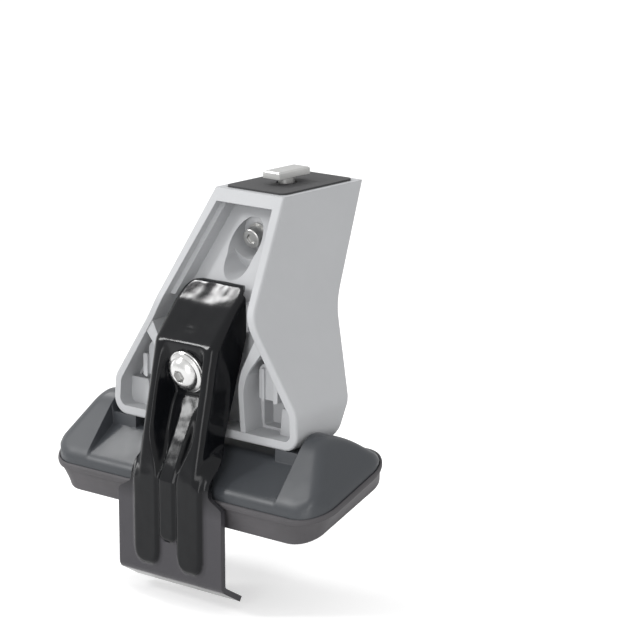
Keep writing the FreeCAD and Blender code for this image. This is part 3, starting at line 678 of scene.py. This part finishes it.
def make_clamp_screw():
    """The flanged button-head screw with its hexagon socket."""
    head = clamp_seat - inward * washer_thick
    section = [(shank_r, -shank_length), (shank_r, 0.0), (flange_r, 0.0)]
    section += arc_points(flange_edge, flange_edge_r, *flange_edge_angles, 6)
    section += [head_foot]
    section += arc_points(dome_middle, dome_r, *dome_angles, 14)
    section += [socket_rim]
    screw = revolved("clamp_screw_shown", head, outward, section)
    socket = hexagon(head + outward * socket_floor, outward, socket_flats, socket_room)
    cut_away(screw, socket)
    smooth_shade(screw, 32)
    return screw


# Materials

def node(tree, kind, **inputs):
    made = tree.nodes.new(kind)
    for key, value in inputs.items():
        made.inputs[key.replace("_", " ")].default_value = value
    return made


def ramp(tree, value, start, end, low=0.0, high=1.0):
    """Low at start and high at end of a value."""
    span = node(tree, "ShaderNodeMapRange", From_Min=start, From_Max=end, To_Min=low,
                To_Max=high)
    tree.links.new(value, span.inputs["Value"])
    return span.outputs["Result"]


def two_colours(tree, value, low, high, start=0.0, end=1.0):
    """A colour that goes from low at start to high at end of a value."""
    mix = tree.nodes.new("ShaderNodeValToRGB")
    first, second = mix.color_ramp.elements
    first.position = start
    second.position = end
    first.color = (*low, 1)
    second.color = (*high, 1)
    tree.links.new(value, mix.inputs["Fac"])
    return mix.outputs["Color"]


def combined(tree, operation, one, other):
    """Two values put together by a math operation."""
    math_node = tree.nodes.new("ShaderNodeMath")
    math_node.operation = operation
    tree.links.new(one, math_node.inputs[0])
    tree.links.new(other, math_node.inputs[1])
    return math_node.outputs["Value"]


def base_material(name, colour, rough, metal=0.0, spec=0.5, round_r=0.0):
    """A plain surface whose edges read as rounded by round_r millimetres."""
    mat = bpy.data.materials.new(name)
    mat.use_nodes = True
    tree = mat.node_tree
    shader = tree.nodes["Principled BSDF"]
    shader.inputs["Base Color"].default_value = (*colour, 1)
    shader.inputs["Roughness"].default_value = rough
    shader.inputs["Metallic"].default_value = metal
    shader.inputs["Specular IOR Level"].default_value = spec
    edge = None
    if round_r:
        edge = node(tree, "ShaderNodeBevel", Radius=round_r / 1000)
        edge.samples = 6
        tree.links.new(edge.outputs["Normal"], shader.inputs["Normal"])
    return mat, tree, shader, edge


def surface_noise(tree, scale, detail, rough):
    coordinates = tree.nodes.new("ShaderNodeTexCoord")
    noise = node(tree, "ShaderNodeTexNoise", Scale=scale, Detail=detail, Roughness=rough)
    tree.links.new(coordinates.outputs["Object"], noise.inputs["Vector"])
    return noise.outputs["Fac"]


def add_grain(tree, shader, before, scale, strength, distance, detail=4):
    """Fine relief, distance millimetres high, laid over the relief before it."""
    noise = surface_noise(tree, scale, detail, 0.6)
    relief = node(tree, "ShaderNodeBump", Strength=strength, Distance=distance / 1000)
    tree.links.new(noise, relief.inputs["Height"])
    tree.links.new(before.outputs["Normal"], relief.inputs["Normal"])
    tree.links.new(relief.outputs["Normal"], shader.inputs["Normal"])
    return relief


def vary(tree, shader, socket, low, high, scale):
    """Lets a value or a colour drift over the surface between low and high."""
    noise = surface_noise(tree, scale, 3, 0.55)
    if isinstance(low, tuple):
        drift = two_colours(tree, noise, low, high, *drift_span)
    else:
        drift = ramp(tree, noise, *drift_span, low, high)
    tree.links.new(drift, shader.inputs[socket])


def housing_material():
    mat, tree, shader, edge = base_material("housing", (0.445, 0.452, 0.464), 0.5, spec=0.4,
                                            round_r=0.5)
    add_grain(tree, shader, edge, 2600, 0.25, 0.04)
    vary(tree, shader, "Roughness", 0.42, 0.55, 60)
    vary(tree, shader, "Base Color", (0.435, 0.442, 0.454), (0.455, 0.462, 0.474), 35)
    return mat


def add_painted_sheen(tree, shader):
    """A painted sheen: a lighter colour painted on the bracket's lower plate around the raised
    ribs, standing in for the brighter reflection there.
    """
    coordinates = tree.nodes.new("ShaderNodeTexCoord")
    axes = tree.nodes.new("ShaderNodeSeparateXYZ")
    tree.links.new(coordinates.outputs["Object"], axes.inputs["Vector"])
    start = place(0, knee[0] + base_drop - sheen_front, knee[1])
    behind = ramp(tree, axes.outputs["Y"], start.y, start.y + sheen_depth / 1000)
    under = ramp(tree, axes.outputs["Z"], start.z, start.z - sheen_height / 1000)
    sheen_mask = combined(tree, "MULTIPLY", behind, under)
    colour = two_colours(tree, sheen_mask, paint_colour, painted_sheen_colour)
    tree.links.new(colour, shader.inputs["Base Color"])


def bracket_material():
    """Glossy black coating over pressed steel: slow waves from the press, fine orange peel."""
    mat, tree, shader, edge = base_material("bracket_paint", paint_colour, 0.13, spec=0.21,
                                            round_r=0.35)
    waves = add_grain(tree, shader, edge, 85, 1.0, 0.45, 1.5)
    add_grain(tree, shader, waves, 520, 0.08, 0.03, 2)
    vary(tree, shader, "Roughness", 0.10, 0.19, 90)
    # Painted sheen: the recessed lower plate gets a lighter colour in place of its brighter
    # reflection
    add_painted_sheen(tree, shader)
    return mat


def saddle_material():
    mat, tree, shader, edge = base_material("saddle", (0.042, 0.046, 0.052), 0.39, spec=0.42,
                                            round_r=0.45)
    add_grain(tree, shader, edge, 2200, 0.2, 0.03)
    vary(tree, shader, "Roughness", 0.34, 0.44, 70)
    return mat


def rubber_material():
    mat, tree, shader, edge = base_material("rubber", (0.07, 0.067, 0.07), 0.6, spec=0.35,
                                            round_r=0.6)
    add_grain(tree, shader, edge, 1900, 0.35, 0.05)
    vary(tree, shader, "Base Color", (0.062, 0.059, 0.063), (0.08, 0.076, 0.081), 45)
    return mat


def steel_material(name, colour, rough):
    mat, tree, shader, edge = base_material(name, colour, rough, metal=1.0, round_r=0.25)
    add_grain(tree, shader, edge, 900, 0.06, 0.02, 2)
    vary(tree, shader, "Roughness", rough * 0.8, rough * 1.3, 160)
    return mat


def dress(obj, material):
    obj.data.materials.clear()
    obj.data.materials.append(material)


# Lights, floor and camera

def soft_light(name, direction, distance, width, height, radiance):
    """A rectangular soft light that shines on the foot from a direction."""
    data = bpy.data.lights.new(name, "AREA")
    data.shape = "RECTANGLE"
    data.size = width
    data.size_y = height
    data.energy = radiance * pi * width * height
    obj = bpy.data.objects.new(name, data)
    obj.location = place(*lit_middle) + Vector(direction).normalized() * distance
    obj.rotation_mode = "QUATERNION"
    obj.rotation_quaternion = Vector(direction).to_track_quat("Z", "Y")
    bpy.context.scene.collection.objects.link(obj)


def make_camera():
    right = Vector((cos(camera_turn), sin(camera_turn), 0))
    back = Vector((sin(camera_turn) * cos(camera_lift), -cos(camera_turn) * cos(camera_lift),
                   sin(camera_lift)))
    up = back.cross(right)
    data = bpy.data.cameras.new("camera")
    data.sensor_width = sensor
    data.lens = sensor * focal_px / picture_px
    data.clip_start = 0.05
    data.clip_end = 20
    obj = bpy.data.objects.new("camera", data)
    spin = Matrix((right, up, back)).transposed()
    obj.matrix_world = Matrix.Translation(place(*camera_place)) @ spin.to_4x4()
    bpy.context.scene.collection.objects.link(obj)
    bpy.context.scene.camera = obj


def seen_directly(tree, direct, otherwise):
    """A value that is direct where the camera sees it, in metal and glass too, and otherwise
    where it lights the object."""
    path = tree.nodes.new("ShaderNodeLightPath")
    seen = path.outputs["Is Camera Ray"]
    for ray in ("Is Glossy Ray", "Is Transmission Ray"):
        seen = combined(tree, "MAXIMUM", seen, path.outputs[ray])
    return ramp(tree, seen, 0.0, 1.0, otherwise, direct)


def make_world():
    world = bpy.data.worlds.new("studio")
    world.use_nodes = True
    tree = world.node_tree
    back = tree.nodes["Background"]
    back.inputs["Color"].default_value = (1, 1, 1, 1)
    tree.links.new(seen_directly(tree, 1.0, world_level), back.inputs["Strength"])
    bpy.context.scene.world = world


def make_floor():
    reach = floor_reach
    corners = [(-reach, -reach, floor_z), (reach, -reach, floor_z), (reach, reach, floor_z),
               (-reach, reach, floor_z)]
    floor = new_object("floor", corners, [(0, 1, 2, 3)])
    mat, tree, shader, _ = base_material("floor", (0.86, 0.86, 0.86), 0.9, spec=0.1)
    shader.inputs["Emission Color"].default_value = (1, 1, 1, 1)
    tree.links.new(seen_directly(tree, floor_glow, 0.0), shader.inputs["Emission Strength"])
    floor.data.materials.append(mat)


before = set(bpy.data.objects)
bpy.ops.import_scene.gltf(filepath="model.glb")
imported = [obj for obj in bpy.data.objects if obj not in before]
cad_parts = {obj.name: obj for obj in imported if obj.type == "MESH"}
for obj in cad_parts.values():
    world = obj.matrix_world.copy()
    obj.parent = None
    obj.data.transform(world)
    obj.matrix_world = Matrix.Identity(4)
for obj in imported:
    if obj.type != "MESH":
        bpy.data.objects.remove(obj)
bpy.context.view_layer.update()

housing = housing_material()
black = bracket_material()
hard = saddle_material()
rubber = rubber_material()
stainless = steel_material("stainless", (0.6, 0.6, 0.595), 0.24)
zinc = steel_material("steel", (0.5, 0.5, 0.49), 0.35)
liner_mat, _, _, _ = base_material("liner", (0.05, 0.05, 0.052), 0.8)
plug_mat, _, _, _ = base_material("plug", (0.33, 0.345, 0.355), 0.5, round_r=0.4)

looks = {
    "tower_housing": (housing, "housing"),
    "seat_liner": (liner_mat, "liner"),
    "wedge_plug": (plug_mat, "plug"),
    "nut_plug": (plug_mat, "plug"),
    "clamp_nut": (zinc, "steel"),
    "bar_screw": (zinc, "steel"),
    "bar_screw_washer": (zinc, "steel"),
    "wedge_block": (zinc, "steel"),
    "tee_bolt": (zinc, "steel"),
    "tee_nut": (zinc, "steel"),
    "pad_saddle": (hard, "saddle"),
    "rubber_pad": (rubber, "rubber"),
    "pad_screw_left": (zinc, "steel"),
    "pad_screw_right": (zinc, "steel"),
    "clamp_bracket": (black, "bracket_paint"),
    "clamp_screw": (stainless, "stainless"),
    "clamp_washer": (stainless, "stainless"),
}
for name, (material, slot_name) in looks.items():
    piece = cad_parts[name]
    dress(piece, material)
    smooth_shade(piece, 28)

bracket = make_bracket()
dress(bracket, black)
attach(bracket, "bracket")
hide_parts("clamp_bracket")

screw = make_clamp_screw()
dress(screw, stainless)
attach(screw, "clamp_bolt")
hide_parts("clamp_screw")

saddle = make_saddle()
dress(saddle, hard)
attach(saddle, "tower")
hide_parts("pad_saddle")

pad = make_rubber()
dress(pad, rubber)
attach(pad, "tower")
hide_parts("rubber_pad")

bpy.context.scene.view_settings.view_transform = "Standard"
make_world()
make_floor()
for light in lights:
    soft_light(*light)
make_camera()
